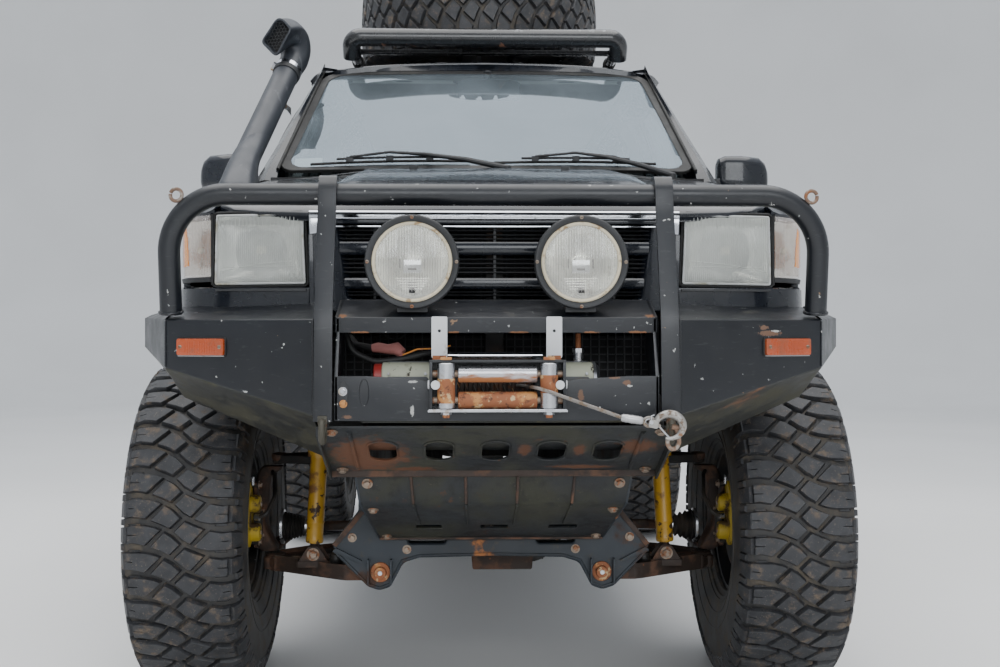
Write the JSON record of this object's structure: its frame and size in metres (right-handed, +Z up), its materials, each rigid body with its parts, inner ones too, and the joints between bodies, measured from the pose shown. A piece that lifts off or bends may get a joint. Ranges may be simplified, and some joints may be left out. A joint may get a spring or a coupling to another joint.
{
  "type": "lifted off-road 4x4 wagon",
  "caption": "Lifted five-door off-road wagon with winch bumper, snorkel, roof rack and spare wheel; wheels roll and steer, doors, hood and tailgate open.",
  "frame": {"origin": "bottom centre of the whole vehicle on the ground", "axes": "+Z up, -Y towards the nose, +X towards the steering wheel's side"},
  "size_m": [2.048, 4.8723, 2.4514],
  "materials": {
    "body_paint": "semi-gloss, dusty",
    "bumper_paint": "satin black, chipped",
    "chassis_paint": "matte, rusty",
    "rusty_steel": "rusted",
    "cast_metal": "oily",
    "shock_paint": "mustard yellow, chipped",
    "zinc": "zinc plated",
    "rim_paint": "satin",
    "tyre_rubber": "dusty",
    "window_glass": "clear",
    "lamp_glass": "fluted",
    "tail_lens": "gloss",
    "black_plastic": "matte",
    "seat_cloth": "woven"
  },
  "bodies": {
    "root": {"body_pillars": "body_paint", "bull_bar": "bumper_paint", "bumper_centre": "bumper_paint", "bumper_wings": "bumper_paint", "cabin_tub": "chassis_paint", "dashboard": "black_plastic", "driveline": "cast_metal", "driving_lamps": "black_plastic", "engine": "cast_metal", "exhaust": "rusty_steel", "fairlead": "zinc", "fixed_windows": "window_glass", "front_arms": "rusty_steel", "front_crossmember": "chassis_paint", "front_differential": "cast_metal", "front_fenders": "body_paint", "front_lamps": "lamp_glass", "fuel_tank": "chassis_paint", "grille": "body_paint", "ladder_frame": "chassis_paint", "rear_axle": "rusty_steel", "rear_bumper": "bumper_paint", "rear_quarters": "body_paint", "roof_panel": "body_paint", "roof_rack": "bumper_paint", "seats": "seat_cloth", "shock_absorbers": "shock_paint", "skid_plates": "rusty_steel", "snorkel": "black_plastic", "spare_rim": "rim_paint", "spare_tyre": "tyre_rubber", "steering_wheel": "black_plastic", "tail_lamps": "tail_lens", "winch": "cast_metal", "winch_cable": "zinc", "winch_hook": "zinc"},
    "hood": {"hood": "body_paint"},
    "door_front_left": {"door_front_left": "body_paint", "window_front_left": "window_glass"},
    "door_front_right": {"door_front_right": "body_paint", "window_front_right": "window_glass"},
    "door_rear_left": {"door_rear_left": "body_paint", "window_rear_left": "window_glass"},
    "door_rear_right": {"door_rear_right": "body_paint", "window_rear_right": "window_glass"},
    "tailgate": {"tailgate": "body_paint", "tailgate_window": "window_glass"},
    "knuckle_left": {"knuckle_left": "rusty_steel"},
    "knuckle_right": {"knuckle_right": "rusty_steel"},
    "steering_rods": {"steering_rods": "rusty_steel"},
    "wheel_front_left": {"tyre_front_left": "tyre_rubber", "rim_front_left": "rim_paint"},
    "wheel_front_right": {"tyre_front_right": "tyre_rubber", "rim_front_right": "rim_paint"},
    "wheel_rear_left": {"tyre_rear_left": "tyre_rubber", "rim_rear_left": "rim_paint"},
    "wheel_rear_right": {"tyre_rear_right": "tyre_rubber", "rim_rear_right": "rim_paint"}
  },
  "joints": [
    {"name": "hood_hinge", "type": "hinge", "parent": "root", "child": "hood", "pos_m": [0, -1.221, 1.586], "axis": [-1, 0, 0], "range_deg": [0, 50]},
    {"name": "door_front_left_hinge", "type": "hinge", "parent": "root", "child": "door_front_left", "pos_m": [0.846, -0.793, 1.2], "axis": [0, 0, -1], "range_deg": [0, 62]},
    {"name": "door_front_right_hinge", "type": "hinge", "parent": "root", "child": "door_front_right", "pos_m": [-0.846, -0.793, 1.2], "axis": [0, 0, 1], "range_deg": [0, 62]},
    {"name": "door_rear_left_hinge", "type": "hinge", "parent": "root", "child": "door_rear_left", "pos_m": [0.846, 0.125, 1.2], "axis": [0, 0, -1], "range_deg": [0, 62]},
    {"name": "door_rear_right_hinge", "type": "hinge", "parent": "root", "child": "door_rear_right", "pos_m": [-0.846, 0.125, 1.2], "axis": [0, 0, 1], "range_deg": [0, 62]},
    {"name": "tailgate_hinge", "type": "hinge", "parent": "root", "child": "tailgate", "pos_m": [0, 2.045, 2.056], "axis": [1, 0, 0], "range_deg": [0, 80]},
    {"name": "steer_left", "type": "hinge", "parent": "root", "child": "knuckle_left", "pos_m": [0.655, -1.411, 0.48], "axis": [0, 0, 1], "range_deg": [-28, 28]},
    {"name": "steer_right", "type": "hinge", "parent": "root", "child": "knuckle_right", "pos_m": [-0.655, -1.411, 0.48], "axis": [0, 0, 1], "range_deg": [-28.5, 28.5]},
    {"name": "steering_rods_slide", "type": "slide", "parent": "root", "child": "steering_rods", "axis": [1, 0, 0], "range_m": [-0.09, 0.09]},
    {"name": "wheel_front_left_spin", "type": "hinge", "parent": "knuckle_left", "child": "wheel_front_left", "pos_m": [0.842, -1.411, 0.48], "axis": [1, 0, 0], "continuous": true},
    {"name": "wheel_front_right_spin", "type": "hinge", "parent": "knuckle_right", "child": "wheel_front_right", "pos_m": [-0.842, -1.411, 0.48], "axis": [1, 0, 0], "continuous": true},
    {"name": "wheel_rear_left_spin", "type": "hinge", "parent": "root", "child": "wheel_rear_left", "pos_m": [0.842, 1.389, 0.48], "axis": [1, 0, 0], "continuous": true},
    {"name": "wheel_rear_right_spin", "type": "hinge", "parent": "root", "child": "wheel_rear_right", "pos_m": [-0.842, 1.389, 0.48], "axis": [1, 0, 0], "continuous": true}
  ],
  "couplings": [
    {"joint": "steer_right", "follows": "steer_left", "ratio": 1},
    {"joint": "steering_rods_slide", "follows": "steer_left", "m_per_rad": -0.168}
  ]
}
